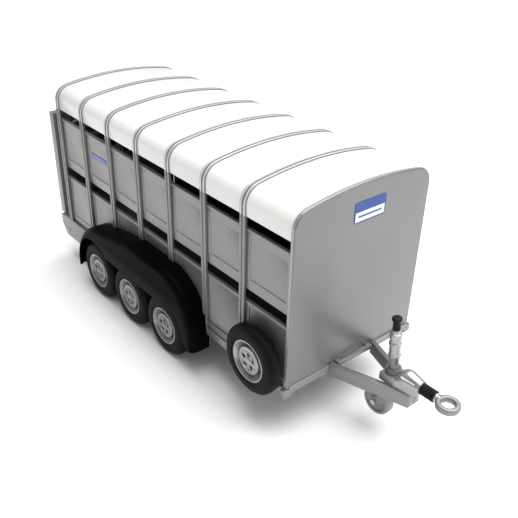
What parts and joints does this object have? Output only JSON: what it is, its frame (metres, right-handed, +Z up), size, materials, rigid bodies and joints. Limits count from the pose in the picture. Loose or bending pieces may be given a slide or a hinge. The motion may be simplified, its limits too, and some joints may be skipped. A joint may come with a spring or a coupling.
{
  "type": "livestock trailer",
  "caption": "Scale-model livestock trailer: slatted silver box body under a white ribbed roof, triple axle with mudguards, spare wheel, drop ramp, gates, jockey wheel, towing ring.",
  "frame": {"origin": "centre of the bounding box on the ground, under the body", "axes": "+X forward to the towing ring, +Y to the trailer's left, +Z up"},
  "size_m": [0.1859, 0.0672, 0.0784],
  "materials": {
    "silver_paint": "silver metallic paint, satin gloss",
    "white_roof": "gloss white, moulded",
    "floor_grey": "matte dark grey",
    "chassis_silver": "silver metallic paint",
    "bright_metal": "bright silver, half gloss",
    "steel_pins": "plain steel",
    "rim_silver": "bright silver paint",
    "black_tyre": "matte black rubber",
    "black_plastic": "satin black, moulded",
    "black_rubber": "black rubber",
    "blue_sticker": "printed sticker",
    "red_lens": "red lens",
    "clear_lens": "clear lens"
  },
  "bodies": {
    "root": {"floor": "floor_grey", "lower_sheet_left": "silver_paint", "lower_sheet_right": "silver_paint", "upper_sheet_left": "silver_paint", "upper_sheet_right": "silver_paint", "side_posts_left": "silver_paint", "side_posts_right": "silver_paint", "sill_rail_left": "silver_paint", "sill_rail_right": "silver_paint", "roof_skin": "white_roof", "roof_hoops": "silver_paint", "front_panel": "silver_paint", "front_trim": "silver_paint", "front_label": "blue_sticker", "side_labels": "blue_sticker", "rear_portal": "silver_paint", "rear_beam": "chassis_silver", "ramp_hinge_rod": "steel_pins", "rear_housing_left": "chassis_silver", "rear_housing_right": "chassis_silver", "rear_lamps": "red_lens", "side_markers": "clear_lens", "chassis_rails": "chassis_silver", "crossmembers": "chassis_silver", "front_crossmember": "chassis_silver", "body_screws": "steel_pins", "axle_blocks": "chassis_silver", "mudguard_left": "black_plastic", "mudguard_right": "black_plastic", "spare_carrier": "chassis_silver", "spare_rim": "rim_silver", "spare_tyre": "black_tyre", "drawbar_beam_left": "chassis_silver", "drawbar_beam_right": "chassis_silver", "coupling_head": "bright_metal", "coupling_bellows": "black_rubber", "towing_ring": "bright_metal", "jockey_clamp": "bright_metal"},
    "ramp": {"ramp_frame": "silver_paint", "ramp_skin": "silver_paint", "ramp_board": "floor_grey", "ramp_treads": "floor_grey"},
    "gate_left_body": {"gate_left": "silver_paint"},
    "gate_right_body": {"gate_right": "silver_paint"},
    "wheelset_rear": {"axle_rear": "steel_pins", "rims_rear": "rim_silver", "tyres_rear": "black_tyre"},
    "wheelset_middle": {"axle_middle": "steel_pins", "rims_middle": "rim_silver", "tyres_middle": "black_tyre"},
    "wheelset_front": {"axle_front": "steel_pins", "rims_front": "rim_silver", "tyres_front": "black_tyre"},
    "jockey_mast": {"jockey_column": "bright_metal", "jockey_grip": "black_plastic"},
    "jockey_caster": {"jockey_fork": "bright_metal", "jockey_axle": "steel_pins"},
    "jockey_roller": {"jockey_wheel": "bright_metal"}
  },
  "joints": [
    {"name": "ramp_hinge", "type": "hinge", "parent": "root", "child": "ramp", "pos_m": [-0.09195, 0, 0.0207], "axis": [0, -1, 0], "range_deg": [0, 116]},
    {"name": "gate_left_hinge", "type": "hinge", "parent": "root", "child": "gate_left_body", "pos_m": [-0.08665, 0.0212, 0.0206], "axis": [0, 0, 1], "range_deg": [0, 88]},
    {"name": "gate_right_hinge", "type": "hinge", "parent": "root", "child": "gate_right_body", "pos_m": [-0.08665, -0.0212, 0.0206], "axis": [0, 0, -1], "range_deg": [0, 88]},
    {"name": "axle_rear_spin", "type": "hinge", "parent": "root", "child": "wheelset_rear", "pos_m": [-0.05145, 0, 0.0113], "axis": [0, 1, 0], "continuous": true},
    {"name": "axle_middle_spin", "type": "hinge", "parent": "root", "child": "wheelset_middle", "pos_m": [-0.02815, 0, 0.0113], "axis": [0, 1, 0], "continuous": true},
    {"name": "axle_front_spin", "type": "hinge", "parent": "root", "child": "wheelset_front", "pos_m": [-0.00485, 0, 0.0113], "axis": [0, 1, 0], "continuous": true},
    {"name": "jockey_slide", "type": "slide", "parent": "root", "child": "jockey_mast", "axis": [-0.0785, 0, 0.9969], "range_m": [-0.0038, 0]},
    {"name": "jockey_swivel", "type": "hinge", "parent": "jockey_mast", "child": "jockey_caster", "pos_m": [0.07005, 0, 0.0196], "axis": [-0.0785, 0, 0.9969], "continuous": true},
    {"name": "jockey_spin", "type": "hinge", "parent": "jockey_caster", "child": "jockey_roller", "pos_m": [0.066, 0, 0.00985], "axis": [0, 1, 0], "continuous": true}
  ]
}
